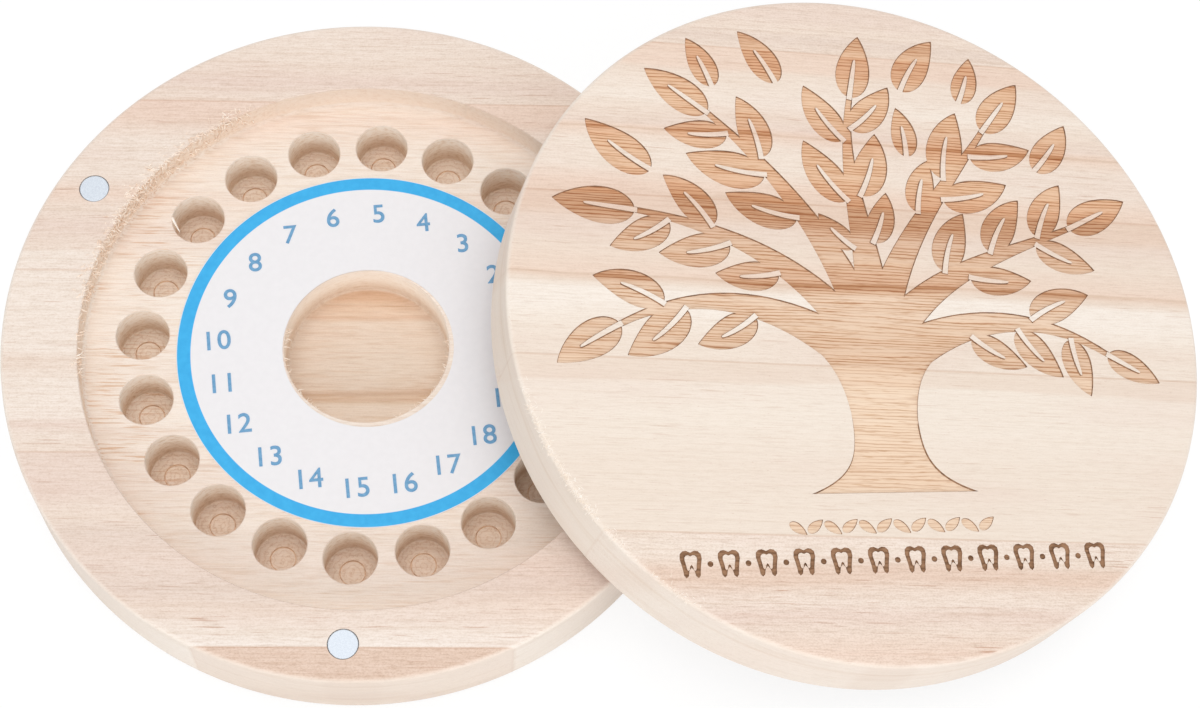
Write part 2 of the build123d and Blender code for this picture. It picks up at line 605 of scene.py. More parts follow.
def engraved_lid():
    """The lid lying flat, before it is told apart into boards."""
    lid = coated(plain_disc("lid", lid_thickness), *carved_faces)
    combine(lid, pockets(-overrun, pocket_depth), "DIFFERENCE")
    cutter = joined([engraved_tree(), *tooth_row(), *garland()], "engraving")
    place = Matrix.Translation((0, 0, lid_thickness)) @ Matrix.Rotation(engraving_turn, 4, "Z")
    cutter.data.transform(place @ Matrix.Scale(MM, 4))
    return combine(lid, cutter, "DIFFERENCE")


def lid_place():
    """From the lid lying flat about its underside's centre to where it leans."""
    lows, highs = zip(*(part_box(name) for name in lid_boards))
    low = Vector([min(values) for values in zip(*lows)])
    high = Vector([max(values) for values in zip(*highs)])
    turn = Matrix.Rotation(lid_lean, 4, "Y") @ Matrix.Rotation(lid_turn, 4, "Z")
    origin = (low + high) / 2 - turn @ Vector((0, 0, lid_thickness / 2))
    return Matrix.Translation(origin) @ turn


# Finishes

# Noise in the wood: its scale along X, Y and Z of the disc (per mm), its shift, detail and roughness
CLOUDS = {
    "drift": ((0.011, 0.04, 0.04), 0, 2, 0.5),
    "ripple": ((0.045, 0.3, 0.3), 11, 3, 0.5),
    "fine": ((0.05, 2.1, 2.1), 3, 4, 0.65),
    "fibre": ((0.35, 3.4, 3.4), 37, 3, 0.7),
    "fuzz": ((2.8, 4.0, 4.0), 41, 2, 0.7),
    "blush": ((0.02, 0.09, 0.09), 5, 2, 0.5),
    "dashes": ((0.12, 3.4, 3.4), 7, 1, 0.5),
    "dash_spread": ((0.02, 0.2, 0.2), 9, 2, 0.5),
    "pores": ((1.3, 5.5, 5.5), 13, 1, 0.5),
    "sweep": ((0.05, 0.05, 0.5), 31, 3, 0.5),
    "side_wander": ((0.04, 0.04, 0.04), 43, 2, 0.5),
    "wobble": ((0.9, 0.9, 0.0), 61, 3, 0.6),
    "streaks": ((0.12, 1.6, 1.6), 17, 3, 0.6),
    "torn": ((0.16, 3.4, 3.4), 19, 3, 0.5),
    "patches": ((0.05, 0.14, 0.14), 53, 2, 0.5),
    "shreds": ((1.1, 1.4, 1.1), 59, 4, 0.75),
    "end_grain": ((0.9, 0.9, 1.8), 47, 4, 0.7),
    "scorch_wander": ((0.02, 0.32, 0.32), 23, 2, 0.5),
    "scorch_waver": ((0.2, 1.0, 1.0), 27, 3, 0.5),
    "scorch": ((0.05, 0.8, 0.8), 25, 3, 0.5),
    "specks": ((0.35, 4.4, 4.4), 29, 2, 0.5),
    "char": ((0.5, 2.0, 2.0), 4, 2, 0.5),
}

# Where a noise begins to show and where it is full, and how strong it is at both
SPOTS = {
    "blush": (0.45, 0.7, 0.0, 0.25), "dashes": (0.64, 0.74), "dash_spread": (0.42, 0.68, 0.15, 0.8),
    "pores": (0.68, 0.8, 0.0, 0.3), "torn": (0.52, 0.68), "patches": (0.42, 0.6, 0.3, 1.0),
    "scorch": (0.32, 0.6, 0.15, 1.0), "specks": (0.52, 0.72, 0.0, 0.6),
}

# How far the bands lean with depth and wander to the side (mm)
GRAIN_TILT = 0.25
DRIFT_REACH = 5.0
RIPPLE_REACH = 1.6

# Tones laid over a board's own, first those along each noise
WHITE = (255, 255, 255)
TONES = {
    "fine": [(0.3, (240, 233, 227)), (0.5, (252, 250, 249)), (0.7, WHITE)],
    "fibre": [(0.35, (240, 236, 232)), (0.5, (252, 251, 249)), (0.62, WHITE)],
    "fuzz": [(0.35, (240, 235, 230)), (0.5, (252, 250, 248)), (0.62, WHITE)],
    "sweep": [(0.35, (237, 226, 214)), (0.5, (243, 234, 224)), (0.65, (241, 231, 220))],
    "streaks": [(0.3, (244, 235, 226)), (0.5, (255, 253, 251)), (0.7, (249, 243, 236))],
    "shreds": [(0.36, (230, 213, 198)), (0.47, (249, 244, 238)), (0.6, WHITE)],
    "end_grain": [(0.36, (236, 226, 215)), (0.5, (252, 249, 246)), (0.62, WHITE)],
}
BLUSH = (247, 236, 236)
DASH_BROWN = (206, 168, 146)
GLUE_LINE = (222, 196, 176)
GLUE_REACH = (0.08, 0.25, 0.35, 0.0)

# Turned side
SIDE_COVER = 0.65
SIDE_LINE = (228, 214, 198)
SIDE_LINE_HEIGHT = 11.0
SIDE_LINE_WANDER = 4.0
SIDE_LINE_REACH = (0.1, 0.7, 0.25, 0.0)

# Milled faces
MILLED_COVER = 0.45
MILLED_TONE = (247, 240, 232)
TORN_GRAIN = (234, 211, 192)
TORN_REACH = (-26.0, -37.0, 0.35, 1.0)
# Painted light: a paler tone laid over the recess walls, so that they show about as bright as the rim and
# floor
WALL_COVER = 0.6
PAINTED_RECESS_WALL_LIGHT = (249, 232, 216)
SHRED_REACH = (-12.0, -34.0, 0.3, 1.0)
# Painted light: a paler tone on the upper walls of the tooth holes and the well, fading out towards their
# foot
PAINTED_HOLE_WALL_LIGHT = (255, 247, 238)
SWIRLS_PER_MM = 1.1
SWIRL_WOBBLE = 3.0
SWIRLS = [
    (0.0, (232, 216, 202)), (0.14, (252, 248, 244)), (0.5, WHITE), (0.86, (250, 246, 242)),
    (1.0, (232, 216, 202)),
]
# Painted shade: tones by depth down the holes and the well, darkest low on the wall just above the floor
PAINTED_DEPTH_SHADE = [(0.0, WHITE), (0.3, (255, 254, 252)), (0.8, (251, 245, 238)), (1.0, (255, 252, 248))]
WELL_REACH = 15.0
# Bands across the grain on the well floor (mm): the thin darker lines are grain; the darkening from 11.4 mm
# to the far edge is painted shadow of the well's far wall, partly darker wood
WELL_GRAIN_AND_SHADOW = [
    (-15, (244, 240, 236)), (-6.4, (243, 240, 237)), (-5.6, (232, 220, 208)), (-5.2, (226, 208, 194)),
    (-4.8, (236, 224, 212)), (-4.2, (220, 202, 188)), (-3.7, (234, 222, 212)), (-3.0, (243, 240, 237)),
    (8.6, (243, 239, 236)), (9.4, (232, 214, 200)), (9.9, (242, 232, 224)), (11.4, (238, 224, 212)),
    (12.4, (234, 212, 194)), (14.5, (232, 208, 188)),
]

# Burnt faces
SCORCH = {
    "lid_strip_1": (243, 226, 208), "lid_strip_2": (249, 235, 218), "lid_strip_3": (240, 221, 202),
    "lid_strip_4": (243, 217, 192), "lid_strip_5": (243, 217, 192),
}
SCORCH_DARK = (220, 198, 176)
SCORCH_BITE = {"lid_strip_2": 0.62}
SCORCH_LINE_STEP = 0.58
SCORCH_LINES = [
    (0.0, (202, 170, 146)), (0.1, (208, 178, 155)), (0.24, (248, 240, 232)), (0.5, (255, 253, 250)),
    (0.58, (238, 225, 213)), (0.68, (255, 253, 250)), (0.82, (248, 240, 232)), (0.95, (204, 172, 148)),
    (1.0, (202, 170, 146)),
]
SCORED_LINE = [(0.3, (204, 168, 140)), (0.6, (236, 208, 182))]
CHARRED_WALL = [(0.35, (120, 86, 60)), (0.6, (160, 122, 92))]

# Fibres, metal and print
FIBRE_TAN = [(0.35, (232, 206, 184)), (0.65, (252, 242, 230))]
SPLINTER_PALE = [(0.35, (244, 232, 218)), (0.65, (253, 247, 240))]
NICKEL_SPECKLE = [(0.35, (184, 190, 198)), (0.55, (197, 203, 210)), (0.7, (208, 213, 219))]
PAPER_WHITE = [(0.35, (229, 227, 229)), (0.65, (231, 229, 231))]
BORDER_BLUE = [(0.35, (42, 165, 224)), (0.65, (50, 173, 230))]
NUMBER_BLUE = [(0.35, (92, 146, 186)), (0.65, (110, 160, 198))]

# Tones of the sanded wood, from the palest early wood to the brownest late wood
MILK = (246, 232, 220)
CREAM = (243, 227, 213)
IVORY = (240, 222, 207)
SAND = (238, 218, 202)
STRAW = (235, 213, 198)
WHEAT = (231, 210, 195)
HONEY = (237, 211, 193)
AMBER = (232, 205, 186)
TAN = (223, 194, 172)
BISCUIT = (213, 178, 154)

# How strongly the fine grain shows on each board, and its bands of colour at places in Y of its disc (mm)
BOARDS = {
    "base_strip_1": (1.0, [(-60, TAN), (-59, BISCUIT), (-58, BISCUIT), (-57.2, TAN), (-54.4, AMBER)]),
    "base_strip_2": (0.8, [
        (-54.2, CREAM), (-51, MILK), (-48, CREAM), (-44, SAND), (-41, WHEAT), (-36, STRAW),
        (-32, WHEAT), (-29.5, SAND), (-25, STRAW), (-21.4, STRAW),
    ]),
    "base_strip_3": (0.8, [
        (-21.4, SAND), (-17.5, SAND), (-15, IVORY), (-13, STRAW), (-11.4, CREAM), (-5.5, CREAM),
        (-3, SAND), (-1.6, SAND), (0, CREAM), (11.4, CREAM),
    ]),
    "base_strip_4": (0.8, [
        (11.4, CREAM), (19.2, CREAM), (19.9, SAND), (24, STRAW), (27, SAND), (30, HONEY), (33, IVORY),
        (40, IVORY), (44.2, HONEY),
    ]),
    "base_strip_5": (0.8, [(44.2, HONEY), (48, SAND), (51, STRAW), (54, SAND), (60, IVORY)]),
    "lid_strip_1": (0.9, [
        (-60, SAND), (-55, HONEY), (-51.5, SAND), (-49, STRAW), (-47, IVORY), (-45, SAND), (-43, AMBER),
        (-41, AMBER), (-39.6, SAND), (-38.6, IVORY),
    ]),
    "lid_strip_2": (0.45, [(-38.6, IVORY), (-24, IVORY), (-17, CREAM), (-10, CREAM), (-9.3, SAND)]),
    "lid_strip_3": (0.55, [
        (-9.3, HONEY), (-8.4, STRAW), (-8.1, TAN), (-7.8, SAND), (-7.1, WHEAT), (-6.5, IVORY), (-2, IVORY),
        (0.5, CREAM), (3.5, MILK), (6.2, MILK), (7.4, SAND), (8.4, AMBER), (8.7, TAN), (9.0, HONEY),
        (14, SAND), (18, STRAW), (20, AMBER),
    ]),
    "lid_strip_4": (0.65, [
        (20, AMBER), (22.2, AMBER), (22.5, TAN), (22.8, AMBER), (25, HONEY), (28.5, IVORY), (33, IVORY),
        (35.4, HONEY), (35.8, TAN), (36.2, HONEY), (37, STRAW), (40, SAND), (43, CREAM), (48.2, SAND),
        (49.3, HONEY),
    ]),
    "lid_strip_5": (0.8, [(49.3, STRAW), (52, SAND), (55, WHEAT), (57, SAND), (60, STRAW)]),
}

# How far a board's tone is raised to make up for its grain; on the lid, at least and for a full grain
BASE_GAIN = (0.995, 1.018, 1.042)
BURNT_GAIN = (1.01, 1.035, 1.06)
LID_GAIN = ((0.96, 0.055), (0.975, 0.067), (0.97, 0.1))

# Seed of the grain on the first board of each disc, and the step to the next
BASE_SEED = (0.0, 17.3)
LID_SEED = (101.7, 13.9)


def linear(red, green, blue):
    """A colour as seen, 0 to 255, as the shader's own value."""
    shares = [value / 255 for value in (red, green, blue)]
    return (*[s / 12.92 if s <= 0.04045 else ((s + 0.055) / 1.055) ** 2.4 for s in shares], 1)


def node(kind, inputs, tree=None, **settings):
    """Add a node, set it and feed it. Its tree is given, or is the one that its inputs come from."""
    outputs = [value for value in inputs.values() if isinstance(value, bpy.types.NodeSocket)]
    tree = tree or outputs[0].id_data
    made = tree.nodes.new("ShaderNode" + kind)
    for name, value in settings.items():
        setattr(made, name, value)
    for key, value in inputs.items():
        if isinstance(value, bpy.types.NodeSocket):
            tree.links.new(value, made.inputs[key])
        else:
            made.inputs[key].default_value = value
    return made


def maths(operation, *values, clamp=False):
    """One sum on numbers or outputs."""
    return node("Math", dict(enumerate(values)), operation=operation, use_clamp=clamp).outputs[0]


def times(first, *others):
    """The product of an output and others, or numbers."""
    for other in others:
        first = maths("MULTIPLY", first, other)
    return first


def less(first, second):
    """What is left of a value when another is taken away."""
    return maths("SUBTRACT", first, second)


def added(base, value, factor, clamp=False):
    """A value, times a factor, on top of another."""
    return maths("MULTIPLY_ADD", value, factor, base, clamp=clamp)


def eased(value, low, high, to_low=0.0, to_high=1.0):
    """A value carried smoothly from one range to another."""
    inputs = {"Value": value, "From Min": low, "From Max": high, "To Min": to_low, "To Max": to_high}
    return node("MapRange", inputs, interpolation_type="SMOOTHSTEP").outputs["Result"]


def near_to(value, place, reach):
    """How near a value is to a place."""
    return eased(maths("ABSOLUTE", less(value, place)), *reach)


def blended(amount, colour, over, way="MIX"):
    """A colour with another laid over it: an output, or a tone as seen."""
    over = linear(*over) if isinstance(over, tuple) else over
    return node("Mix", {0: amount, 6: colour, 7: over}, data_type="RGBA", blend_type=way).outputs[2]


def tinted(amount, colour, tone):
    """A colour darkened by a tone."""
    return blended(amount, colour, tone, "MULTIPLY")


def noise(place, scale, detail, roughness=0.5):
    """Soft noise."""
    inputs = {"Vector": place, "Scale": scale, "Detail": detail, "Roughness": roughness}
    return node("TexNoise", inputs).outputs[0]


def cloud(grain, name):
    """Noise drawn out along the grain (a place and a seed), and moved along it to tell boards apart."""
    place, seed = grain
    scale, shift, detail, roughness = CLOUDS[name]
    offset = seed + shift
    inputs = {"Vector": place, "Location": (offset, offset * 0.37, 0), "Scale": scale}
    return noise(node("Mapping", inputs).outputs[0], 1.0, detail, roughness)


def spots(grain, name):
    """Where a noise is strong enough to show."""
    return eased(cloud(grain, name), *SPOTS[name])


def toned(grain, name):
    """The tones of a noise."""
    return ramp(cloud(grain, name), TONES[name])


def ramp(value, stops):
    """Colours along a value."""
    made = node("ValToRGB", {0: value})
    bands = made.color_ramp.elements
    while len(bands) < len(stops):
        bands.new(0.5)
    for band, (position, colour) in zip(bands, stops):
        band.position = position
        band.color = linear(*colour)
    return made.outputs[0]


def banded(value, low, high, bands, gain=(1, 1, 1)):
    """Bands of colour between two places, raised by what the grain over them takes away."""
    share = maths("DIVIDE", less(value, low), high - low, clamp=True)
    stops = []
    for place, tone in bands:
        raised = [channel * factor for channel, factor in zip(tone, gain)]
        stops.append(((place - low) / (high - low), raised))
    return ramp(share, stops)


def finish(name, frame_place, roughness, shine=0.5, metallic=0.0):
    """A new material, and the place on the piece in mm, in a frame such as that of a disc lying flat."""
    material = bpy.data.materials.new(name)
    material.use_nodes = True
    tree = material.node_tree
    values = {"Roughness": roughness, "Specular IOR Level": shine, "Metallic": metallic}
    for key, value in values.items():
        tree.nodes["Principled BSDF"].inputs[key].default_value = value
    inputs = {
        "Vector": node("TexCoord", {}, tree).outputs["Object"], "Location": frame_place.to_translation(),
        "Rotation": frame_place.to_euler(), "Scale": (MM, MM, MM),
    }
    return material, node("Mapping", inputs, vector_type="TEXTURE").outputs[0]


def fed(material, outputs):
    """Feed outputs to a material's shader."""
    tree = material.node_tree
    for name, output in outputs.items():
        tree.links.new(output, tree.nodes["Principled BSDF"].inputs[name])
    return material


def bumped(height, strength, distance=0.0002, invert=False):
    """A surface that rises and falls with a value."""
    inputs = {"Strength": strength, "Distance": distance, "Height": height}
    return node("Bump", inputs, invert=invert).outputs[0]


def axes_of(place):
    """A place's X, Y and Z."""
    return node("SeparateXYZ", {0: place}).outputs


def from_centre(axes, centre=(0, 0)):
    """The distance from an upright axis, in mm."""
    flat = node("CombineXYZ", {0: axes[0], 1: axes[1]}).outputs[0]
    return node("VectorMath", {0: flat, 1: (*in_mm(centre), 0)}, operation="DISTANCE").outputs["Value"]


def board_colour(grain, edges, bands, gain):
    """The colours of one board across its grain, and where they come from."""
    axes = axes_of(grain[0])
    across = added(axes[1], axes[2], GRAIN_TILT)
    for name, reach in (("drift", DRIFT_REACH), ("ripple", RIPPLE_REACH)):
        across = added(across, less(cloud(grain, name), 0.5), reach)
    return banded(across, *edges, bands, gain), across, axes


def grained(grain, colour, bite):
    """A board's colour under its fine grain: lines, fibres, fuzz, a blush, brown dashes and pores."""
    fine = cloud(grain, "fine")
    colour = tinted(bite, colour, ramp(fine, TONES["fine"]))
    colour = tinted(bite, colour, toned(grain, "fibre"))
    colour = tinted(bite * bite, colour, toned(grain, "fuzz"))
    colour = tinted(spots(grain, "blush"), colour, BLUSH)
    dash = times(spots(grain, "dashes"), spots(grain, "dash_spread"), bite)
    colour = tinted(dash, colour, DASH_BROWN)
    return tinted(spots(grain, "pores"), colour, DASH_BROWN), fine, dash


def glued(colour, axes, seams):
    """Thin darker lines where a board meets its neighbours."""
    for seam in seams:
        colour = tinted(near_to(axes[1], seam, GLUE_REACH), colour, GLUE_LINE)
    return colour


def turned_side(grain, colour, axes, lined):
    """The paler turned side of a disc, on the lid with the cutter's faint line round it."""
    side = eased(from_centre(axes), (disc_radius - edge_round) / MM, disc_radius / MM, 0.0, SIDE_COVER)
    tone = toned(grain, "sweep")
    if lined:
        height = added(axes[2], cloud(grain, "side_wander"), SIDE_LINE_WANDER)
        tone = tinted(near_to(height, SIDE_LINE_HEIGHT, SIDE_LINE_REACH), tone, SIDE_LINE)
    return blended(side, colour, tone)


def swirled(grain, colour, axes, out, on_floor):
    """Rough rings that the cutter left on the floor of each tooth hole."""
    step = tau / hole_count
    x, y = [less(axes[axis], middle) for axis, middle in enumerate(in_mm(milling_centre))]
    angle = less(maths("ARCTAN2", y, x), first_hole_angle - step / 2)
    angle = less(maths("FLOORED_MODULO", angle, step), step / 2)
    from_ring = less(times(out, maths("COSINE", angle)), hole_ring_radius / MM)
    reach = from_centre((times(out, maths("SINE", angle)), from_ring))
    turns = added(times(reach, SWIRLS_PER_MM), cloud(grain, "wobble"), SWIRL_WOBBLE)
    near = eased(reach, hole_radius / MM + 0.2, hole_radius / MM, 0.0, 0.8)
    return tinted(times(on_floor, near), colour, ramp(maths("FRACT", turns), SWIRLS))


def milled_part(grain, colour, across, axes):
    """The recess, tooth holes and well, freshly cut and a little rough, with painted light on their walls,
    painted shade low in the holes and painted shadow at the far side of the well floor.
    """
    floor, rim, edge, well_edge = in_mm((recess_floor, base_thickness, recess_radius, well_radius))
    inside = eased(from_centre(axes, recess_centre), edge + 0.5, edge + 0.2)
    inside = times(inside, eased(axes[2], 0.3, 0.6))
    below = times(eased(axes[2], rim, rim - 0.5), inside)
    cut = tinted(1.0, blended(MILLED_COVER, colour, MILLED_TONE), toned(grain, "streaks"))
    torn = times(spots(grain, "torn"), spots(grain, "patches"), eased(axes[0], *TORN_REACH))
    colour = blended(below, colour, tinted(torn, cut, TORN_GRAIN))
    wall = times(eased(axes[2], floor + 0.2, floor + 0.9), below)
    # Painted light on the recess walls
    colour = blended(times(wall, WALL_COVER), colour, PAINTED_RECESS_WALL_LIGHT)
    colour = tinted(times(wall, eased(axes[0], *SHRED_REACH)), colour, toned(grain, "shreds"))
    out = from_centre(axes, milling_centre)
    in_well = eased(out, well_edge + 0.4, well_edge)
    depth = maths("DIVIDE", less(floor, axes[2]), (recess_floor - hole_floor) / MM, clamp=True)
    depth = times(depth, inside)
    # Painted light: the walls of the holes and the well are paler near their top and fade back deeper down
    painted_hole_light = times(eased(depth, 0.01, 0.04), eased(depth, 0.9, 0.3))
    colour = blended(painted_hole_light, colour, PAINTED_HOLE_WALL_LIGHT)
    bored = times(eased(depth, 0.02, 0.08), eased(depth, 0.99, 0.96), added(1.0, in_well, -0.6))
    colour = tinted(bored, colour, toned(grain, "end_grain"))
    # Painted shade that deepens down the holes and the well
    colour = tinted(1.0, colour, ramp(depth, PAINTED_DEPTH_SHADE))
    colour = swirled(grain, colour, axes, out, eased(depth, 0.97, 0.985))
    on_floor = times(eased(depth, 0.92, 0.985), in_well)
    # The well floor's grain bands, with painted shadow towards its far wall
    return tinted(on_floor, colour, banded(across, -WELL_REACH, WELL_REACH, WELL_GRAIN_AND_SHADOW))


def clean_wood(name, disc_place, edges, seed, milled=False):
    """Bare sanded wood of one board."""
    material, place = finish(name + "_grain", disc_place, 0.72, 0.25)
    grain = (place, seed)
    bite, bands = BOARDS[name]
    gain = BASE_GAIN if milled else [least + more * bite for least, more in LID_GAIN]
    colour, across, axes = board_colour(grain, edges, bands, gain)
    colour, fine, dash = grained(grain, colour, bite)
    colour = turned_side(grain, glued(colour, axes, edges), axes, lined=not milled)
    if milled:
        colour = milled_part(grain, colour, across, axes)
    rough = eased(fine, 0.3, 0.7, 0.66, 0.8)
    bump = bumped(added(fine, dash, -0.6), 0.25)
    return fed(material, {"Base Color": colour, "Roughness": rough, "Normal": bump})


def burnt_wood(name, disc_place, edges, seed):
    """The engraved floor: tan, with dark lines where the late wood stands."""
    material, place = finish(name + "_burnt", disc_place, 0.85, 0.15)
    grain = (place, seed)
    colour, _, axes = board_colour(grain, edges, BOARDS[name][1], BURNT_GAIN)
    dark = eased(node("SeparateColor", {0: colour}).outputs["Green"], 0.75, 0.61, 0.0, 0.8)
    colour = tinted(dark, tinted(1.0, colour, SCORCH[name]), SCORCH_DARK)
    run = added(times(axes[1], 1 / SCORCH_LINE_STEP), cloud(grain, "scorch_wander"), 4.0)
    run = maths("FRACT", added(run, cloud(grain, "scorch_waver"), 0.75))
    strength = added(spots(grain, "scorch"), dark, 0.6, clamp=True)
    strength = times(strength, SCORCH_BITE.get(name, 1.0))
    colour = tinted(strength, colour, ramp(run, SCORCH_LINES))
    colour = tinted(spots(grain, "specks"), colour, SCORCH_DARK)
    return fed(material, {"Base Color": colour, "Normal": bumped(strength, 0.3, invert=True)})


def charred_wood(name, disc_place, tones):
    """Darkened wood, such as the wall round an engraved shape."""
    material, place = finish(name, disc_place, 0.9)
    return fed(material, {"Base Color": ramp(cloud((place, 0), "char"), tones)})


def magnet_metal():
    """Bright nickel plating with a slight satin."""
    material, place = finish("nickel_plating", LEVEL, 0.6, metallic=1.0)
    speckle = noise(place, 5.2, 3.0)
    rough = eased(speckle, 0.3, 0.7, 0.55, 0.66)
    return fed(material, {"Base Color": ramp(speckle, NICKEL_SPECKLE), "Roughness": rough})


# Paper label

label_low, label_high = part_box("label_ring")
label_centre = (label_low + label_high) / 2
label_radius = (label_high.x - label_low.x) / 2
label_band_radius = 29.94 * MM
number_ring_radius = 25.3 * MM
number_turn = radians(6.5)
number_height = 3.5
number_thickness = 0.03
number_boldness = 0.07
number_weld = 0.0005
number_spacing = 1.08
capital_share = 0.72


def label_paper():
    """White paper with a blue border round its outside."""
    material, place = finish("label_paper", Matrix.Translation((*label_centre.xy, 0)), 0.6)
    radius = from_centre(axes_of(place))
    border, edge = in_mm((label_band_radius, label_radius))
    band = less(eased(radius, border - 0.06, border + 0.06), eased(radius, edge - 0.14, edge - 0.04))
    fibre = noise(place, 0.9, 6.0)
    colour = blended(band, ramp(fibre, PAPER_WHITE), ramp(fibre, BORDER_BLUE))
    return fed(material, {"Base Color": colour, "Normal": bumped(fibre, 0.05, 0.0001)})


def number_ink():
    """Printed steel blue."""
    material, place = finish("number_ink", LEVEL, 0.55)
    return fed(material, {"Base Color": ramp(noise(place, 1.5, 3.0), NUMBER_BLUE)})


def printed_numbers():
    """A plain number beside each tooth hole."""
    numbers = []
    for index in range(hole_count):
        text = started(bpy.ops.object.text_add)
        text.data.body = str(index + 1)
        text.data.align_x = "CENTER"
        text.data.align_y = "CENTER"
        text.data.size = number_height / capital_share
        text.data.space_character = number_spacing
        text.data.extrude = number_thickness
        text.data.resolution_u = 6
        bpy.ops.object.convert(target="MESH")
        number = bpy.context.object
        with editing(number):
            bpy.ops.mesh.remove_doubles(threshold=number_weld)
            bpy.ops.mesh.normals_make_consistent(inside=False)
            bpy.ops.transform.shrink_fatten(value=number_boldness)
        lows, highs = Vector(number.bound_box[0]), Vector(number.bound_box[6])
        middle = Vector((*((lows + highs) / 2).xy, 0))
        x, y = polar(number_ring_radius, hole_angle(index), label_centre)
        place = Matrix.Translation((x, y, label_high.z)) @ Matrix.Rotation(number_turn, 4, "Z")
        number.data.transform(place @ Matrix.Scale(MM, 4) @ Matrix.Translation(-middle))
        numbers.append(number)
    return joined(numbers, "label_numbers")


# Torn fibres along the left of the recess, at the well, at one hole and along the lid's left edge (mm)

fibre_radius = 0.09
fibre_curl = 0.35
fibre_tuft_width = radians(1.6)
recess_fibres = 560
recess_tufts = 60
recess_fibre_arc = (radians(106), radians(196), radians(150))
recess_fibre_lengths = (0.5, 1.4)
recess_fibre_scatter = 0.9
wall_fibre_share = 0.45
wall_fibre_heights = (10.6, 14.1)
well_fibres = 70
well_fibre_arcs = (radians(165), radians(235)), (radians(-70), radians(5))
well_fibre_lengths = (0.4, 1.1)
well_fibre_drops = (0.1, 1.6)
lid_fibres = 620
lid_fibre_radius = 0.065
lid_tufts = 44
lid_fibre_arc = (radians(192), radians(238), radians(206))
lid_fibre_lengths = (0.3, 0.85)
splinter_hole = 7
splinter_side = radians(178)
splinter_length = 3.2
splinter_radius = 0.22
splinter_curl = 0.3
splinter_turn = radians(-62)
splinter_tilt = radians(10)


def fibre_strand(name, length, radius, curl, sides=5, steps=5):
    """A thin tapered strand in mm that grows along +X and curls up."""
    shares = [step / steps for step in range(steps + 1)]
    rings = [(radius * (1 - share) ** 0.6 + 0.15 * radius, share * length) for share in shares]
    strand = turned(name, rings, sides=sides)
    for corner in strand.data.vertices:
        x, y, z = corner.co
        corner.co = (z, y, x + curl * z * z / length)
    return strand


def stood(middle, turn, length):
    """Where a strand stands, how it is turned and how long it is."""
    return Matrix.Translation(middle) @ Euler(turn).to_matrix().to_4x4() @ Matrix.Scale(length, 4)


def strewn(model, places, name):
    """Copies of a strand at places in mm."""
    fibres = [twin(model, "fibre", Matrix.Scale(MM, 4) @ place) for place in places]
    discard(model)
    return joined(fibres, name)


def torn_edge():
    """Short fibres that the cutter tore up along the recess, its wall and the well."""
    rough = random.Random(7)
    tufts = [rough.triangular(*recess_fibre_arc) for index in range(recess_tufts)]
    places = []
    for index in range(recess_fibres):
        angle = rough.choice(tufts) + rough.gauss(0, fibre_tuft_width)
        on_wall = rough.random() < wall_fibre_share
        radius = recess_radius / MM + (0 if on_wall else abs(rough.gauss(0, recess_fibre_scatter)))
        height = rough.uniform(*wall_fibre_heights) if on_wall else base_thickness / MM - 0.05
        tilt = rough.uniform(-0.35, 0.2)
        turn = (rough.uniform(0, tau), tilt, rough.gauss(angle + pi, 0.9))
        middle = (*polar(radius, angle, in_mm(recess_centre)), height)
        places.append(stood(middle, turn, rough.uniform(*recess_fibre_lengths)))
    for index in range(well_fibres):
        angle = rough.uniform(*rough.choice(well_fibre_arcs))
        turn = (rough.uniform(0, tau), rough.uniform(-0.5, 0.3), rough.gauss(angle + pi, 0.8))
        height = recess_floor / MM - rough.uniform(*well_fibre_drops)
        middle = (*polar(well_radius / MM - 0.02, angle, in_mm(milling_centre)), height)
        places.append(stood(middle, turn, rough.uniform(*well_fibre_lengths)))
    return strewn(fibre_strand("fibre", 1.0, fibre_radius, fibre_curl), places, "torn_fibres")


def frayed_edge():
    """Pale fibres that stand along the lid's left edge."""
    rough = random.Random(11)
    tufts = [rough.triangular(*lid_fibre_arc) for index in range(lid_tufts)]
    places = []
    for index in range(lid_fibres):
        angle = rough.choice(tufts) + rough.gauss(0, fibre_tuft_width)
        inset = abs(rough.gauss(0.7, 0.5))
        fall = max(0.0, edge_round / MM - inset)
        drop = edge_round / MM - (edge_round**2 / MM**2 - fall**2) ** 0.5
        turn = (rough.gauss(0, 0.6), rough.uniform(-0.12, 0.1), rough.gauss(angle, 1.1))
        middle = (*polar(disc_radius / MM - inset, angle), lid_thickness / MM - drop - 0.04)
        places.append(stood(middle, turn, rough.uniform(*lid_fibre_lengths)))
    fibres = strewn(fibre_strand("fibre", 1.0, lid_fibre_radius, fibre_curl / 3), places, "frayed_fibres")
    fibres.data.transform(lid_place())
    return fibres


def hanging_splinter():
    """A pale strand that curls off the wall of one hole."""
    size = (splinter_length, splinter_radius, splinter_curl)
    strand = fibre_strand("hole_splinter", *size, sides=8, steps=12)
    hole = polar(hole_ring_radius, hole_angle(splinter_hole), milling_centre)
    place = Matrix.Translation((*polar(hole_radius, splinter_side, hole), recess_floor))
    turn = Matrix.Rotation(splinter_turn, 4, "Z") @ Matrix.Rotation(splinter_tilt, 4, "Y")
    strand.data.transform(place @ turn @ Matrix.Scale(MM, 4))
    return strand


def make_fibres():
    """The torn fibres with their finishes."""
    kinds = (
        (torn_edge(), FIBRE_TAN, "base"), (hanging_splinter(), SPLINTER_PALE, "base"),
        (frayed_edge(), SPLINTER_PALE, "lid"),
    )
    for piece, tones, body in kinds:
        coated(piece, charred_wood(piece.name + "_finish", LEVEL, tones))
        smoothed(piece, 60)
        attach(piece, body)


# Put the object together

def dress(board, node_name, body, materials):
    """Give a board its finishes and let it stand for its solid."""
    for number, material in enumerate(materials):
        board.data.materials[number] = material
    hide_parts(node_name)
    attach(board, body)


